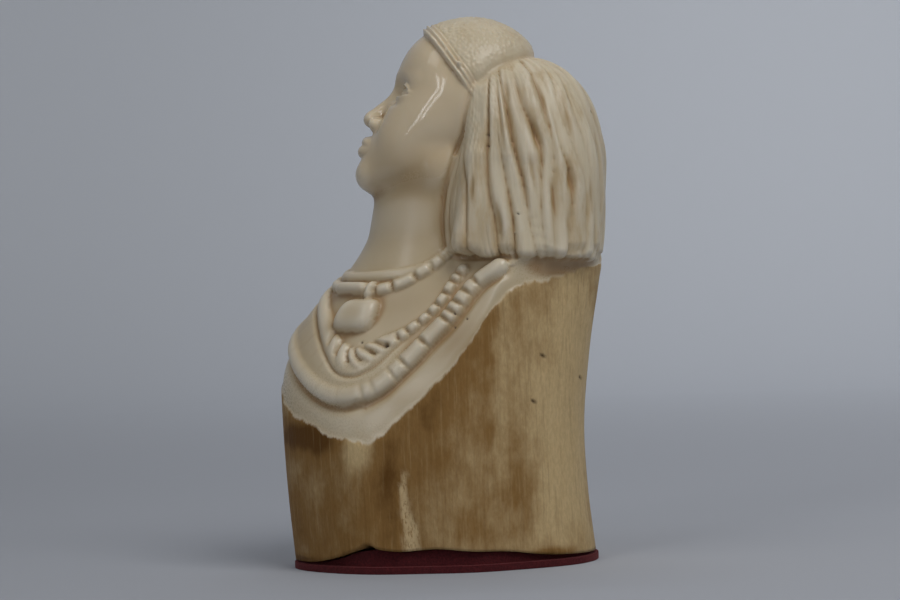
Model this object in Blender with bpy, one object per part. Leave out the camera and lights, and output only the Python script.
"""Carved hippo tooth: the bust of a woman cut from the upper half of a tusk, glued to a red felt foot.

Metres, +Z up. The origin is the middle of the felt's underside. The face looks along -Y and the
figure's left side is +X. The head looks straight ahead while the chest is turned to the figure's left.

Both solids start as a primitive sphere whose vertices are moved onto the carved form. The form is a
field of signed distances, so a vertex is found by walking inwards along its own ray until it meets it.
"""

import math

import bmesh
import bpy
import numpy as np

# Depth and width of the tooth. The outlines of the raw tooth and of the mass of hair are shares of
# them, and the chest runs from the raw outline to the neck. Heights and relief keep their own sizes
TOOTH_DEPTH = 0.0660
TOOTH_WIDTH = 0.0486

# Felt foot
FELT_THICKNESS = 0.0015
FELT_MARGIN = 0.0004
FELT_SOFT_EDGE = 0.0002
FELT_GAP = 0.0003
FELT_LIP = 0.0001
FILLER_INSET = 0.0013

# Raw tooth: heights, with the front and back of its outline as shares of the depth at each, and half
# its width as a share of the width
TOOTH_HEIGHTS = (0.000, 0.015, 0.030, 0.046, 0.064, 0.088)
TOOTH_FRONT = (-0.496, -0.515, -0.526, -0.527, -0.508, -0.455)
TOOTH_BACK = (0.504, 0.482, 0.476, 0.502, 0.548, 0.567)
TOOTH_HALF_WIDTH = (0.494, 0.500, 0.500, 0.486, 0.457, 0.412)
FLUTE_DEPTH = 0.00035
FLUTE_COUNT = 7

# Broken rim at the foot: bearings in degrees from the front towards the figure's left, heights in mm
RIM = (
    (-180, 2.0), (-135, 3.0), (-90, 4.4), (-45, 3.6), (-15, 2.0), (8, 1.9), (22, 2.2), (35, 3.3),
    (46, 4.8), (53, 5.2), (70, 4.8), (90, 4.9), (115, 4.1), (136, 3.0), (165, 2.0), (180, 2.0),
)
RIM_WAVE = 0.0002
NOTCH_BEARING = math.radians(52)
NOTCH_WIDTH = math.radians(3.5)
NOTCH_DEPTH = 0.0012
ROOT_HOLLOW = 0.0062

# Lines round the chest: bearings in degrees from the front towards the figure's left, heights in mm
HIDE_EDGE = (
    (-180, 65), (-110, 64), (-60, 55), (-20, 44.5), (0, 39.5), (12, 35.2), (21, 32.9), (30, 31.1),
    (45, 28.9), (55, 28.1), (64, 29.8), (70, 32.1), (77, 34.7), (98, 43.5), (112, 52.0), (119, 56.2),
    (126, 59.2), (135, 61.2), (148, 62.0), (161, 64.5), (180, 65),
)
CUT_EDGE = (
    (-180, 67), (-110, 66), (-60, 55), (-20, 44.5), (0, 39.5), (12, 35.2), (21, 32.9), (30, 31.1),
    (45, 28.9), (55, 28.1), (64, 29.8), (70, 32.1), (77, 34.7), (98, 43.5), (112, 53.0), (122, 62.0),
    (132, 66.5), (148, 67), (161, 67), (180, 67),
)
ROPE = (
    (-60, 66), (-35, 60.5), (-15, 54.5), (5, 47.9), (16, 43.9), (28, 40.1), (36, 38.5), (44, 38.1),
    (56, 39.3), (71, 44.2), (84, 49.6), (94, 53.4), (107, 59.3), (122, 64.5),
)
FRINGE = (
    (-34, 66.5), (-14, 61.5), (7, 56.8), (17, 53.4), (23, 51.0), (30, 48.1), (37, 45.8), (45, 45.1),
    (54, 46.6), (61, 48.6), (68, 50.5), (73, 51.9), (81, 54.2), (86, 55.9), (91, 57.9), (97, 60.8), (106, 64),
)
FRINGE_WIDTHS = (
    (-34, 1.8), (17, 2.0), (30, 2.4), (39, 3.2), (50, 3.1), (59, 2.2), (66, 1.5), (104, 1.3),
)
CHOKER = (
    (-50, 69), (-15, 63.0), (8, 61.2), (22, 60.7), (40, 60.3), (46, 60.6), (59, 61.9), (72, 64.1),
    (80, 65.3), (94, 68),
)
COLLAR = (
    (-70, 70), (-20, 65.0), (8, 63.6), (22, 63.3), (36, 63.4), (52, 63.6), (68, 64.4), (84, 66.2),
    (100, 69.5),
)

# Step from the raw skin down to the chest, and the neck
HIDE_STEP = 0.00035
POLISH_FROM = 0.056
CHEST_ROUND = 1.75
NECK_ROUND = 1.75
NECK_BASE = 0.0730
NECK_CENTRE = -0.0022
NECK_LEAN = 0.20
NECK_BEND = 60.0
NECK_BEND_START = 0.0785
NECK_HALF_DEPTH = 0.0125
NECK_HALF_WIDTH = 0.0120

# Head: its height from chin to crown, the place of the chin, and how far the face is lifted
HEAD_HEIGHT = 0.0450
CHIN_Y = -0.0187
CHIN_Z = 0.0843
HEAD_TILT = math.radians(27)
NECK_END = 0.30
JAW_BLEND = 0.07
HAIRLINE_UP = 0.800
HAIRLINE_SLOPE = 0.56
EYE = (0.146, -0.140, 0.490)
EYE_RADIUS = 0.086
EYE_HALF_LENGTH = 0.082
EYE_OPEN = 0.030
LID = 0.015
CREASE = 0.012
MOUTH_HALF_WIDTH = 0.122
BAND_WIDTH = 0.066
BAND_RAISE = 0.032
CAP_RAISE = 0.022
CAP_EDGE = 0.0030

# Hair: heights, with the front, the middle and the back of the mass of locks as shares of the tooth's
# depth at each, and half its width as a share of the tooth's width. The front locks are rods in mm
HAIR_HEIGHTS = (0.066, 0.080, 0.088, 0.096, 0.110)
HAIR_FRONT = (0.002, 0.012, 0.050, 0.088, 0.100)
HAIR_MIDDLE = (0.318, 0.285, 0.264, 0.242, 0.227)
HAIR_BACK = (0.547, 0.565, 0.567, 0.556, 0.545)
HAIR_HALF_WIDTH = (0.428, 0.416, 0.405, 0.395, 0.387)
HAIR_BOTTOM = 0.0660
HAIR_BOTTOM_SLOPE = -0.07
HAIR_SHOULDER = 0.0870
HAIR_TOP = 0.1105
HAIR_SQUARENESS = 2.7
HAIR_END_ROUND = 0.0024
HAIR_MELT = 0.0045
HAIR_BLEND = 0.0010
NAPE_Y = (0.014, 0.028)
NAPE_Z = (0.068, 0.078)
FRONT_LOCKS = (
    ((12.0, 10.7, 101.8), (15.2, 10.2, 88.0), 3.3, 3.4), ((15.2, 10.2, 88.0), (16.4, 7.3, 70.0), 3.4, 3.7),
    ((12.5, 15.2, 102.0), (16.1, 15.2, 88.0), 3.4, 3.4), ((12.3, 19.8, 103.0), (16.2, 20.5, 88.0), 3.6, 3.6),
)

# Grooves between the locks: for each, its place at six heights as shares of a half turn round the
# hair, and its depth there in mm
LOCK_HEIGHTS = (0.066, 0.074, 0.082, 0.090, 0.098, 0.106)
LOCK_GROOVES = (
    ((0.120, 0.120, 0.120, 0.120, 0.120, 0.120), (0.3, 0.3, 0.3, 0.3, 0.3, 0.3)),
    ((0.222, 0.206, 0.213, 0.222, 0.228, 0.230), (0.6, 0.7, 0.5, 0.1, 0.0, 0.0)),
    ((0.296, 0.300, 0.290, 0.238, 0.246, 0.250), (0.8, 1.2, 1.3, 0.4, 0.0, 0.0)),
    ((0.380, 0.386, 0.371, 0.367, 0.370, 0.376), (0.8, 1.2, 1.1, 0.7, 0.5, 0.4)),
    ((0.436, 0.446, 0.442, 0.430, 0.425, 0.425), (1.1, 1.4, 1.0, 0.6, 0.2, 0.0)),
    ((0.506, 0.503, 0.507, 0.499, 0.503, 0.470), (0.5, 0.6, 1.3, 2.0, 1.6, 0.9)),
    ((0.551, 0.553, 0.571, 0.591, 0.560, 0.545), (0.6, 0.5, 0.8, 1.4, 0.8, 0.2)),
    ((0.590, 0.597, 0.612, 0.634, 0.630, 0.622), (0.4, 0.5, 0.6, 0.7, 1.2, 0.9)),
    ((0.645, 0.668, 0.682, 0.654, 0.655, 0.660), (0.4, 0.6, 1.2, 0.5, 0.2, 0.3)),
    ((0.736, 0.737, 0.733, 0.699, 0.680, 0.700), (0.4, 0.4, 0.3, 0.4, 0.5, 0.3)),
    ((0.781, 0.781, 0.772, 0.748, 0.728, 0.745), (0.3, 0.4, 0.3, 0.3, 0.4, 0.3)),
    ((0.832, 0.836, 0.825, 0.804, 0.790, 0.800), (0.3, 0.2, 0.3, 0.4, 0.3, 0.3)),
    ((0.885, 0.880, 0.872, 0.860, 0.850, 0.860), (0.4, 0.3, 0.2, 0.3, 0.4, 0.3)),
    ((0.940, 0.930, 0.932, 0.930, 0.928, 0.930), (0.3, 0.4, 0.3, 0.2, 0.3, 0.3)),
    ((1.000, 1.000, 1.000, 1.000, 1.000, 1.000), (0.4, 0.3, 0.3, 0.4, 0.3, 0.3)),
)

# Necklaces. A nick is (bearing, share of the bead's height cut away). A pendant is (bearing, height,
# half width, half height, how far it stands out)
COLLAR_HALF_WIDTH = 0.0011
CHOKER_HALF_WIDTH = 0.0013
ROPE_HALF_WIDTH = 0.0023
COLLAR_RAISE = 0.0006
BEAD_RAISE = 0.0012
RING_RAISE = 0.0013
LEAF_SLANT = 0.70
ROPE_RAISE = 0.0016
BIB_RAISE = 0.0010
GUTTER = 0.0006
PENDANT = (math.radians(35.5), 0.0549, 0.0045, 0.0035, 0.0026)
BAR = (math.radians(22), 0.0608, 0.0050, 0.0012, 0.0019)
BAR_RING = (math.radians(37.5), 0.0601, 0.0008, 0.0020, 0.0021)
PENDANT_REACH = 0.0215
CHOKER_NICKS = tuple((turn_at, 1.0) for turn_at in (-38, -27, -16, -6, 40, 51, 66, 78, 88))
LEAF_NICKS = ((33.5, 0.8), (41, 1.0), (47.5, 0.6), (54, 1.0), (59.5, 0.7))
FRINGE_NICKS = tuple((turn_at, 0.85) for turn_at in (65.5, 70.6, 77, 83, 88, 93.3, 98.5, 103))
ROPE_NICKS = (
    (-50, 0.5), (-38, 0.5), (-27, 0.4), (-15, 0.4), (-4, 0.3), (8, 0.2), (19, 0.25), (30, 0.3), (41, 0.25),
    (52.5, 0.6), (57.5, 0.5), (66, 0.6), (71.8, 0.8), (82, 0.9), (94, 1.0), (97.6, 0.9), (101.4, 0.9),
    (106.4, 0.9), (112, 0.8),
)

# Mesh: segments and rings of the starting sphere, and the triangles kept in the finished tooth
SEGMENTS = 180
RINGS = 200
RIM_RING = 8
FAN_RING = 142
TOOTH_TRIANGLES = 9100
FAN_CENTRE_Y = 0.0095
FAN_CENTRE_Z = 0.0970
REACH = 0.060
SHORTEST_STEP = 0.00008
LONGEST_STEP = 0.004
SLOPE_STEP = 0.00004


def mix(a, b, share):
    return a + (b - a) * share


def ramp(low, high, value):
    """0 below low, 1 above high, and a smooth rise between them."""
    t = np.clip((value - low) / (high - low), 0.0, 1.0)
    return t * t * (3.0 - 2.0 * t)


def smooth_union(a, b, blend_width):
    """The nearer of two distances, with the crease between them filled."""
    h = np.clip(0.5 + 0.5 * (b - a) / blend_width, 0.0, 1.0)
    return mix(b, a, h) - blend_width * h * (1.0 - h)


def smooth_cut(a, b, blend_width):
    """Shape a with shape b taken out of it."""
    return -smooth_union(-a, b, blend_width)


def curve_at(knots, values, at):
    """A smooth curve through the values at the knots, level beyond its ends."""
    knots, values = np.asarray(knots, float), np.asarray(values, float)
    slopes = np.gradient(values, knots)
    at = np.clip(at, knots[0], knots[-1])
    i = np.clip(np.searchsorted(knots, at) - 1, 0, len(knots) - 2)
    span = knots[i + 1] - knots[i]
    t = (at - knots[i]) / span
    return (
        (2 * t**3 - 3 * t**2 + 1) * values[i]
        + (t**3 - 2 * t**2 + t) * span * slopes[i]
        + (3 * t**2 - 2 * t**3) * values[i + 1]
        + (t**3 - t**2) * span * slopes[i + 1]
    )


def ellipsoid(q, centre, radii):
    offset = (q - np.array(centre)) / np.array(radii)
    near = np.linalg.norm(offset, axis=1)
    slope = np.linalg.norm(offset / np.array(radii), axis=1)
    return near * (near - 1.0) / np.maximum(slope, 1e-9)


def rod(q, start, end, start_radius, end_radius):
    """A round rod between two points, whose radius runs from one value to the other."""
    start, along = np.array(start), np.array(end) - np.array(start)
    share = np.clip((q - start) @ along / (along @ along), 0.0, 1.0)
    gap = np.linalg.norm(q - start - share[:, None] * along, axis=1)
    return gap - mix(start_radius, end_radius, share)


def at_bearing(line, bearing):
    """Height of a line round the chest, in metres, at each bearing in radians."""
    turns, heights = zip(*line)
    return curve_at(np.radians(turns), np.array(heights) / 1000, bearing)


def angle_apart(a, b):
    return (a - b + math.pi) % (2 * math.pi) - math.pi


def rim_height(bearing):
    """Height of the uneven broken rim at the foot of the tooth, without its notch."""
    return at_bearing(RIM, bearing) + RIM_WAVE * np.sin(9 * bearing + 1.0) * np.abs(np.sin(bearing))


def notch_height(bearing):
    return NOTCH_DEPTH * np.exp(-((angle_apart(bearing, NOTCH_BEARING) / NOTCH_WIDTH) ** 2))


def tooth_section(z):
    """Middle, half depth and half width of the raw tooth at height z."""
    front = curve_at(TOOTH_HEIGHTS, TOOTH_FRONT, z) * TOOTH_DEPTH
    back = curve_at(TOOTH_HEIGHTS, TOOTH_BACK, z) * TOOTH_DEPTH
    half_width = curve_at(TOOTH_HEIGHTS, TOOTH_HALF_WIDTH, z) * TOOTH_WIDTH
    return (front + back) / 2, (back - front) / 2, half_width


def bearing_of(p):
    """Angle round the tooth: 0 at the front, +90 degrees at the figure's left."""
    middle = tooth_section(p[:, 2])[0]
    return np.arctan2(p[:, 0], middle - p[:, 1])


def body_form(p):
    """Tooth, chest and neck: one column whose section shrinks over the chest to that of the neck."""
    bearing = bearing_of(p)
    z = p[:, 2]
    edge = at_bearing(CUT_EDGE, bearing)
    climb = np.clip((z - edge) / (NECK_BASE - edge), 0.0, 1.0)
    share = 1.0 - (1.0 - climb**CHEST_ROUND) ** NECK_ROUND
    middle, half_depth, half_width = tooth_section(z)
    bend = NECK_BEND * np.clip(z - NECK_BEND_START, 0.0, None) ** 2
    middle = mix(middle, NECK_CENTRE + NECK_LEAN * (z - NECK_BASE) + bend, share)
    half_depth = mix(half_depth, NECK_HALF_DEPTH, share)
    half_width = mix(half_width, NECK_HALF_WIDTH, share)
    flute = FLUTE_DEPTH * np.cos(FLUTE_COUNT * bearing) * (1.0 - share)
    radius = np.hypot(p[:, 0], p[:, 1] - middle)
    stretch = np.hypot(p[:, 0] / half_width, (p[:, 1] - middle) / half_depth)
    return radius * (1.0 - 1.0 / np.maximum(stretch, 1e-6)) - flute


def to_head(p):
    """Points in the head's own frame, in head heights: sideways, forwards and up from the chin."""
    y, z = p[:, 1] - CHIN_Y, p[:, 2] - CHIN_Z
    forward = -y * math.cos(HEAD_TILT) + z * math.sin(HEAD_TILT)
    up = y * math.sin(HEAD_TILT) + z * math.cos(HEAD_TILT)
    return np.stack([np.abs(p[:, 0]), forward, up], axis=1) / HEAD_HEIGHT


def above_hairline(q):
    """Distance behind the slanting plane of the hairline, in head heights."""
    rise = q[:, 2] - HAIRLINE_UP - HAIRLINE_SLOPE * (q[:, 1] + 0.03)
    return rise / math.hypot(1.0, HAIRLINE_SLOPE)


def eye_opening(q):
    """Distance outside the almond between the lids, less than 0 in the opening."""
    side = (q[:, 0] - EYE[0]) / EYE_HALF_LENGTH
    level = q[:, 2] - EYE[2] - 0.006 * side
    reach = np.sqrt(np.clip(1.0 - side**2, 0.0, 1.0))
    return np.where(level > 0, level - EYE_OPEN * reach, -level - 0.62 * EYE_OPEN * reach)


def eye_form(q):
    """Eyeball under two lids: the ball is thicker wherever it is outside the almond of the opening."""
    ball = np.linalg.norm(q - np.array(EYE), axis=1) - EYE_RADIUS
    opening = eye_opening(q)
    fold = np.exp(-(((opening - 0.026) / 0.006) ** 2)) * (q[:, 2] > EYE[2])
    return ball - LID * ramp(-0.003, 0.004, opening) + CREASE * fold


def lip_form(q, height, forward, radius, curl):
    """One lip: a rounded roll that follows the curve of the teeth and thins out to the corner."""
    share = np.clip(q[:, 0] / MOUTH_HALF_WIDTH, 0.0, 1.0)
    centre_up = height + curl * share**2
    centre_out = forward - 0.055 * share**2
    thick = radius * np.sqrt(np.clip(1.0 - share**2, 0.0, 1.0)) + 0.004
    end = np.clip(q[:, 0] - MOUTH_HALF_WIDTH, 0.0, None)
    return np.sqrt((q[:, 1] - centre_out) ** 2 + (q[:, 2] - centre_up) ** 2 + end**2) - thick


def head_form(q):
    """Skull, cheeks, jaw, brows, eyes, nose and lips, joined softly."""
    d = ellipsoid(q, (0.0, -0.36, 0.62), (0.325, 0.368, 0.375))
    d = smooth_union(d, ellipsoid(q, (0.0, -0.165, 0.66), (0.255, 0.160, 0.20)), 0.06)
    d = smooth_union(d, ellipsoid(q, (0.0, -0.275, 0.36), (0.275, 0.255, 0.32)), 0.08)
    d = smooth_union(d, ellipsoid(q, (0.145, -0.205, 0.385), (0.130, 0.135, 0.120)), 0.10)
    d = smooth_union(d, ellipsoid(q, (0.110, -0.180, 0.255), (0.135, 0.130, 0.140)), 0.10)
    d = smooth_union(d, rod(q, (0.185, -0.36, 0.22), (0.06, -0.100, 0.080), 0.095, 0.080), 0.10)
    d = smooth_union(d, ellipsoid(q, (0.0, -0.088, 0.072), (0.085, 0.070, 0.062)), 0.07)
    d = smooth_union(d, ellipsoid(q, (0.0, -0.105, 0.20), (0.135, 0.110, 0.105)), 0.05)
    d = smooth_union(d, rod(q, (0.045, -0.045, 0.560), (0.20, -0.115, 0.575), 0.026, 0.020), 0.06)
    d = smooth_cut(d, ellipsoid(q, (0.145, 0.012, 0.492), (0.105, 0.095, 0.058)), 0.05)
    d = smooth_union(d, eye_form(q), 0.012)
    nose = rod(q, (0.0, -0.068, 0.515), (0.0, 0.018, 0.335), 0.036, 0.043)
    nose = smooth_union(nose, ellipsoid(q, (0.0, 0.028, 0.318), (0.047, 0.042, 0.037)), 0.02)
    nose = smooth_union(nose, ellipsoid(q, (0.058, -0.010, 0.303), (0.035, 0.046, 0.033)), 0.016)
    nose = smooth_cut(nose, ellipsoid(q, (0.032, 0.010, 0.268), (0.018, 0.026, 0.017)), 0.008)
    d = smooth_union(d, nose, 0.028)
    d = smooth_union(d, lip_form(q, 0.210, 0.000, 0.026, -0.016), 0.010)
    d = smooth_union(d, lip_form(q, 0.163, -0.005, 0.030, 0.024), 0.010)
    return d


def hair_section(p):
    """How far behind the hair's middle each point is, and the half depth and half width there."""
    z = p[:, 2]
    front, middle, back = (
        curve_at(HAIR_HEIGHTS, shares, z) * TOOTH_DEPTH for shares in (HAIR_FRONT, HAIR_MIDDLE, HAIR_BACK)
    )
    behind = p[:, 1] - middle
    half_depth = np.where(behind > 0, back - middle, middle - front)
    return behind, half_depth, curve_at(HAIR_HEIGHTS, HAIR_HALF_WIDTH, z) * TOOTH_WIDTH


def hair_form(p):
    """The mass of hanging locks: a squarish bell, domed on top and cut off level below."""
    behind, half_depth, half_width = hair_section(p)
    rise = np.clip(p[:, 2] - HAIR_SHOULDER, 0.0, None) / (HAIR_TOP - HAIR_SHOULDER)
    n = HAIR_SQUARENESS
    size = (np.abs(p[:, 0] / half_width) ** n + np.abs(behind / half_depth) ** n + rise**n) ** (1 / n)
    reach = np.sqrt(p[:, 0] ** 2 + behind**2 + (rise * (HAIR_TOP - HAIR_SHOULDER)) ** 2)
    column = reach * (1.0 - 1.0 / np.maximum(size, 1e-6))
    mirrored = np.stack([np.abs(p[:, 0]), p[:, 1], p[:, 2]], axis=1) * 1000
    for start, end, start_radius, end_radius in FRONT_LOCKS:
        lock = rod(mirrored, start, end, start_radius, end_radius) / 1000
        column = smooth_union(column, lock, HAIR_BLEND)
    bottom = HAIR_BOTTOM + HAIR_BOTTOM_SLOPE * (p[:, 1] - HAIR_MIDDLE[-1] * TOOTH_DEPTH)
    return -smooth_union(-column, p[:, 2] - bottom, HAIR_END_ROUND)


def body_and_head(p):
    """Distances to the body, whose neck ends inside the head, and to the head."""
    q = to_head(p)
    neck_end = (q[:, 2] - NECK_END) * HEAD_HEIGHT
    return np.maximum(body_form(p), neck_end), head_form(q) * HEAD_HEIGHT


def base_form(p):
    """Signed distance to the whole tooth before its surface is carved, in metres."""
    body, head = body_and_head(p)
    nape = ramp(*NAPE_Y, p[:, 1]) * (1.0 - ramp(*NAPE_Z, p[:, 2]))
    melt = mix(HAIR_BLEND, HAIR_MELT, nape)
    return smooth_union(smooth_union(body, head, JAW_BLEND * HEAD_HEIGHT), hair_form(p), melt)


def spine_y(z):
    """The rays start on this line, which runs up the tooth and leans back behind the neck."""
    return mix(tooth_section(z)[0], FAN_CENTRE_Y, ramp(0.045, 0.070, z))


def rays(bearing, climb):
    """Origin and direction of the ray for each bearing, and climb from 0 at the rim to 2 at the crown."""
    foot = rim_height(bearing) + notch_height(bearing)
    height = mix(foot, FAN_CENTRE_Z, np.clip(climb, 0.0, 1.0))
    lift = np.clip(climb - 1.0, 0.0, 1.0) * math.pi / 2
    origins = np.stack([np.zeros_like(height), spine_y(height), height], axis=1)
    level = np.cos(lift)
    directions = np.stack([level * np.sin(bearing), -level * np.cos(bearing), np.sin(lift)], axis=1)
    return origins, directions


def cast_inwards(origins, directions):
    """The outermost point of the form on each ray, found by walking in and then halving."""
    reach = np.full(len(origins), REACH)
    last = np.zeros(len(origins))
    walking = np.arange(len(origins))
    while len(walking):
        gap = base_form(origins[walking] + directions[walking] * reach[walking, None])
        outside = gap > 0
        walking, gap = walking[outside], gap[outside]
        last[walking] = np.clip(0.6 * gap, SHORTEST_STEP, LONGEST_STEP)
        reach[walking] -= last[walking]
        walking = walking[reach[walking] > 0.001]
    inner, outer = reach, reach + last
    for _ in range(14):
        half = (inner + outer) / 2
        inside = base_form(origins + directions * half[:, None]) < 0
        inner, outer = np.where(inside, half, inner), np.where(inside, outer, half)
    return origins + directions * outer[:, None]


def normals_at(p):
    steps = SLOPE_STEP * np.eye(3)
    slope = [base_form(p + step) - base_form(p - step) for step in steps]
    slope = np.stack(slope, axis=1)
    return slope / np.maximum(np.linalg.norm(slope, axis=1, keepdims=True), 1e-12)


def roll(offset, half_width):
    """Height, from 0 to 1, of a half-round moulding across its width."""
    return np.sqrt(np.clip(1.0 - (offset / half_width) ** 2, 0.0, 1.0))


def bell(offset, width):
    """1 in the middle and fading to 0 over a width on either side."""
    return np.exp(-((offset / width) ** 2))


def line_on_chest(line, count=150):
    """Points along a necklace on the body's surface, from the figure's right to the left."""
    turns = np.linspace(line[0][0], line[-1][0], count)
    bearing = np.radians(turns)
    height = at_bearing(line, bearing)
    origins = np.stack([np.zeros(count), tooth_section(height)[0], height], axis=1)
    directions = np.stack([np.sin(bearing), -np.cos(bearing), np.zeros(count)], axis=1)
    reach = np.full(count, 0.004)
    for _ in range(60):
        reach -= body_form(origins + directions * reach[:, None])
    points = origins + directions * reach[:, None]
    along = np.concatenate([[0.0], np.cumsum(np.linalg.norm(np.diff(points, axis=0), axis=1))])
    return points, along, turns


def beside_line(p, line):
    """Distance of each point above (+) or below (-) a necklace's line, and how far along it that is."""
    points, along, _ = line
    distance = np.full(len(p), np.inf)
    passed = np.zeros(len(p))
    above = np.zeros(len(p))
    for i in range(len(points) - 1):
        edge = points[i + 1] - points[i]
        offset = p - points[i]
        share = np.clip(offset @ edge / (edge @ edge), 0.0, 1.0)
        gap = offset - share[:, None] * edge
        length = np.linalg.norm(gap, axis=1)
        nearer = length < distance
        distance[nearer] = length[nearer]
        passed[nearer] = along[i] + share[nearer] * (along[i + 1] - along[i])
        above[nearer] = gap[nearer, 2]
    return np.where(above > 0, distance, -distance), passed


def between_beads(passed, line, nicks, width):
    """1 on a bead, and less in the nicks between beads. Each nick is (bearing, depth from 0 to 1)."""
    _, along, turns = line
    kept = np.ones(len(passed))
    for turn_at, depth in nicks:
        kept *= 1.0 - depth * bell(passed - np.interp(turn_at, turns, along), width)
    return kept


def pad(p, pendant):
    """A rounded barrel lying on the chest, as a height in metres above it."""
    turn_at, height, half_width, half_height, raised = pendant
    side = angle_apart(bearing_of(p), turn_at) * PENDANT_REACH / half_width
    level = (p[:, 2] - height) / half_height
    return raised * np.clip(1.0 - np.abs(side) ** 6 - np.abs(level) ** 3, 0.0, 1.0) ** 0.5


def ring_and_leaves(p, bearing, offset, passed, line):
    """The inner necklace: a plain ring that breaks into slanting leaves in front and beads at the side."""
    half_width = curve_at(*zip(*FRINGE_WIDTHS), np.degrees(bearing)) / 1000
    beaded = ramp(math.radians(61), math.radians(65), bearing)
    leafy = ramp(math.radians(28), math.radians(36), bearing) * (1.0 - beaded)
    leaves = between_beads(passed + LEAF_SLANT * offset, line, LEAF_NICKS, 0.0006)
    beads = between_beads(passed, line, FRINGE_NICKS, 0.00045)
    scallop = mix(1.0, 0.70 + 0.30 * leaves, leafy)
    cut = mix(mix(1.0, leaves, leafy), beads, beaded)
    return RING_RAISE * roll(offset, half_width * scallop) ** 0.8 * cut


def necklace_relief(p):
    """Collar, choker, barrel pendant, inner ring and broad outer rope, as heights above the chest."""
    bearing = bearing_of(p)
    collar, choker, fringe, rope = (line_on_chest(line) for line in (COLLAR, CHOKER, FRINGE, ROPE))
    offset, _ = beside_line(p, collar)
    height = COLLAR_RAISE * roll(offset, COLLAR_HALF_WIDTH) ** 0.6
    offset, passed = beside_line(p, choker)
    beads = BEAD_RAISE * roll(offset, CHOKER_HALF_WIDTH) * between_beads(passed, choker, CHOKER_NICKS, 0.0005)
    height = np.maximum(height, beads)
    band, band_passed = beside_line(p, fringe)
    height = np.maximum(height, ring_and_leaves(p, bearing, band, band_passed, fringe))
    offset, passed = beside_line(p, rope)
    cut = between_beads(passed, rope, ROPE_NICKS, 0.00045)
    side = ramp(math.radians(60), math.radians(75), bearing)
    half_width = mix(ROPE_HALF_WIDTH, 0.85 * ROPE_HALF_WIDTH, side)
    rounded = ROPE_RAISE * roll(offset, half_width) ** 0.9 * mix(0.75 + 0.25 * cut, 0.35 + 0.65 * cut, side)
    bib = BIB_RAISE * ramp(0.0, 0.0006, offset) * ramp(0.0, 0.0006, -band)
    height = np.maximum(np.maximum(height, bib * (1.0 - side)), rounded)
    for pendant in (PENDANT, BAR, BAR_RING):
        height = np.maximum(height, pad(p, pendant))
    height -= GUTTER * bell(offset + 1.25 * half_width, 0.45 * half_width)
    ring_edge = curve_at(*zip(*FRINGE_WIDTHS), np.degrees(bearing)) / 1000
    return height - GUTTER * (1.0 - side) * bell(band + 1.05 * ring_edge, 0.0005)


def hair_turn(p):
    """Share of a half turn round the hair, from 0 in front to 1 at the back, on both sides."""
    behind, half_depth, half_width = hair_section(p)
    return np.arctan2(np.abs(p[:, 0]) / half_width, -behind / half_depth) / math.pi


def lock_relief(p):
    """Locks of hair, each rounded between two grooves."""
    far_side = p[:, 0] < 0
    z = p[:, 2] + np.where(far_side, 0.004, 0.0)
    turns = hair_turn(p) + np.where(far_side, 0.012 * np.sin(p[:, 2] / 0.006), 0.0)
    height = np.zeros(len(p))
    edges = [curve_at(LOCK_HEIGHTS, places, z) for places, _ in LOCK_GROOVES]
    depths = [curve_at(LOCK_HEIGHTS, cuts, z) / 1000 for _, cuts in LOCK_GROOVES]
    for i in range(len(edges) - 1):
        share = (turns - edges[i]) / np.maximum(edges[i + 1] - edges[i], 0.004)
        here = (share >= 0) & (share < 1)
        depth = np.clip(mix(depths[i], depths[i + 1], ramp(0.25, 0.75, share)), 0.0, None)
        power = mix(3.2, 1.5, np.clip(depth / 0.0018, 0, 1))
        rounded = 1.0 - np.sqrt(np.clip(1.0 - np.abs(2 * share - 1) ** power, 0.0, 1.0))
        height[here] = (0.3 * depth - depth * rounded)[here]
    return height


def relief(p):
    """How far the carved surface stands out from the base form at each point."""
    body, head = body_and_head(p)
    on_hair = ramp(-0.0002, 0.0008, np.minimum(body, head) - hair_form(p))
    on_head = ramp(0.0, 0.0010, body - head) * (1.0 - on_hair)
    on_chest = (1.0 - on_hair) * (1.0 - on_head)
    behind_band = above_hairline(to_head(p))
    band = roll(behind_band - BAND_WIDTH / 2, BAND_WIDTH / 2) ** 0.6
    cap = ramp(0.85 * BAND_WIDTH, BAND_WIDTH, behind_band)
    clear_of_hair = mix(0.25, 1.0, ramp(0.0, CAP_EDGE, hair_form(p)))
    height = on_head * HEAD_HEIGHT * clear_of_hair * np.maximum(BAND_RAISE * band, CAP_RAISE * cap)
    height = height + on_hair * lock_relief(p)
    above_hide = p[:, 2] - at_bearing(HIDE_EDGE, bearing_of(p))
    carved = on_chest * ramp(-0.0005, 0.0005, above_hide)
    bare = 1.0 - ramp(POLISH_FROM, NECK_BASE, p[:, 2])
    return height + carved * (necklace_relief(p) - HIDE_STEP * bare)


def tooth_points(bearing, climb, share):
    """Carved points for each bearing and climb. Share, under 1, is a place on the flat foot."""
    origins, directions = rays(bearing, climb)
    surface = cast_inwards(origins, directions)
    surface = surface + normals_at(surface) * relief(surface)[:, None]
    foot = mix(origins, surface, share[:, None])
    sunk = mix(ROOT_HOLLOW, surface[:, 2], share)
    foot[:, 2] = np.where(share < 1.0, sunk, surface[:, 2])
    return foot


def sphere_places(mesh, segments_up):
    """Bearing of each vertex of a unit sphere, and its ring number counted up from the south pole."""
    points = np.empty(len(mesh.vertices) * 3)
    mesh.vertices.foreach_get("co", points)
    points = points.reshape(-1, 3)
    latitude = np.arcsin(np.clip(points[:, 2], -1.0, 1.0))
    return np.arctan2(points[:, 0], -points[:, 1]), (latitude / math.pi + 0.5) * segments_up


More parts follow.
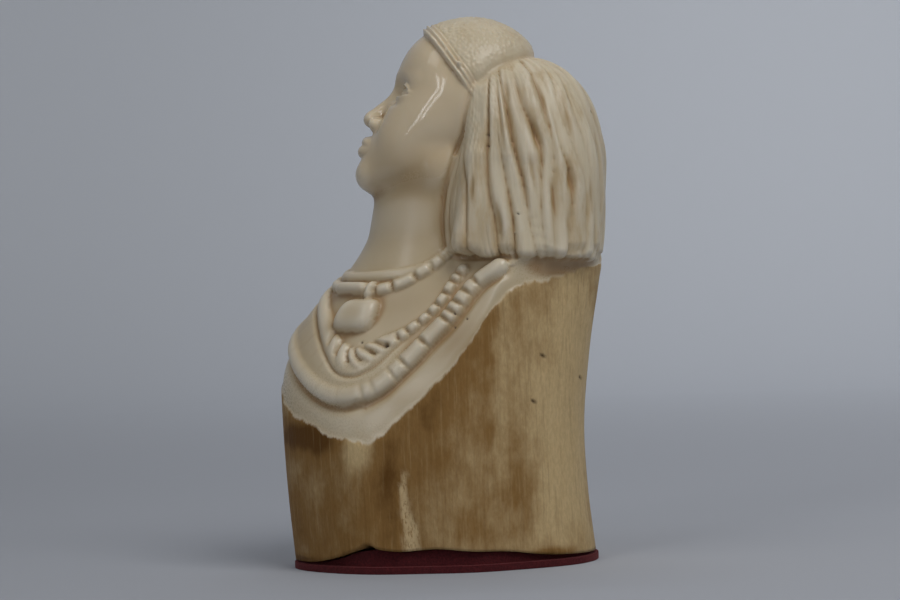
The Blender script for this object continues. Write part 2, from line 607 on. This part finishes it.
def new_sphere(name, segments, rings):
    mesh = bpy.data.meshes.new(name)
    sphere = bmesh.new()
    bmesh.ops.create_uvsphere(sphere, u_segments=segments, v_segments=rings, radius=1.0)
    sphere.to_mesh(mesh)
    sphere.free()
    return mesh


def place_vertices(mesh, points):
    mesh.vertices.foreach_set("co", points.ravel())
    mesh.update()


def material(name, colour, roughness):
    made = bpy.data.materials.new(name)
    made.use_nodes = True
    shader = made.node_tree.nodes["Principled BSDF"]
    shader.inputs["Base Color"].default_value = (*colour, 1.0)
    shader.inputs["Roughness"].default_value = roughness
    return made


def add_object(name, mesh, finish, collection):
    made = bpy.data.objects.new(name, mesh)
    mesh.materials.append(finish)
    mesh.shade_smooth()
    collection.objects.link(made)
    return made


def build_tooth(collection):
    mesh = new_sphere("carved_tooth", SEGMENTS, RINGS)
    bearing, ring = sphere_places(mesh, RINGS)
    share = np.clip(ring / RIM_RING, 0.0, 1.0)
    up_column = (ring - RIM_RING) / (FAN_RING - RIM_RING)
    up_crown = (ring - FAN_RING) / (RINGS - FAN_RING)
    climb = np.clip(up_column, 0.0, 1.0) + np.clip(up_crown, 0.0, 1.0)
    place_vertices(mesh, tooth_points(bearing, climb, share))
    tooth = add_object(
        "carved_tooth", mesh, material("ivory", (0.80, 0.72, 0.58), 0.35), collection
    )
    thin = tooth.modifiers.new("fewer_faces", "DECIMATE")
    thin.ratio = TOOTH_TRIANGLES / (2 * SEGMENTS * (RINGS - 1))
    return tooth


def build_felt(collection):
    """Felt disc with the felt-covered filler that closes the root under the uneven rim."""
    segments, rings = 64, 7
    mesh = new_sphere("felt_base", segments, rings)
    bearing, ring = sphere_places(mesh, rings)
    ring = np.rint(ring)
    rim = rim_height(bearing)
    origins, directions = rays(bearing, np.zeros_like(bearing))
    edge = cast_inwards(origins, directions)
    outline = np.linalg.norm(edge[:, :2] - origins[:, :2], axis=1)
    wide, narrow = outline + FELT_MARGIN, outline - FILLER_INSET
    # From the middle of the underside out to the disc's edge, up it, and in over the filler
    soft, top = FELT_SOFT_EDGE, FELT_THICKNESS
    radius = [0, wide - soft, wide, wide, wide - soft, narrow, narrow, 0]
    shoulder = np.maximum(mix(ROOT_HOLLOW, rim, narrow / outline) - FELT_GAP, top + FELT_LIP)
    height = [0, 0, soft, top - soft, top, top, shoulder, ROOT_HOLLOW - FELT_GAP]
    span, level = np.zeros_like(rim), np.zeros_like(rim)
    for i, (r, z) in enumerate(zip(radius, height)):
        span = np.where(ring == i, r, span)
        level = np.where(ring == i, z, level)
    middle = tooth_section(np.zeros(1))[0]
    points = np.stack([span * np.sin(bearing), middle - span * np.cos(bearing), level], axis=1)
    place_vertices(mesh, points)
    return add_object("felt_base", mesh, material("red_felt", (0.22, 0.02, 0.02), 0.95), collection)


def main():
    for old in list(bpy.data.objects):
        bpy.data.objects.remove(old)
    collection = bpy.data.collections.new("carved_hippo_tooth")
    bpy.context.scene.collection.children.link(collection)
    build_tooth(collection)
    build_felt(collection)


main()
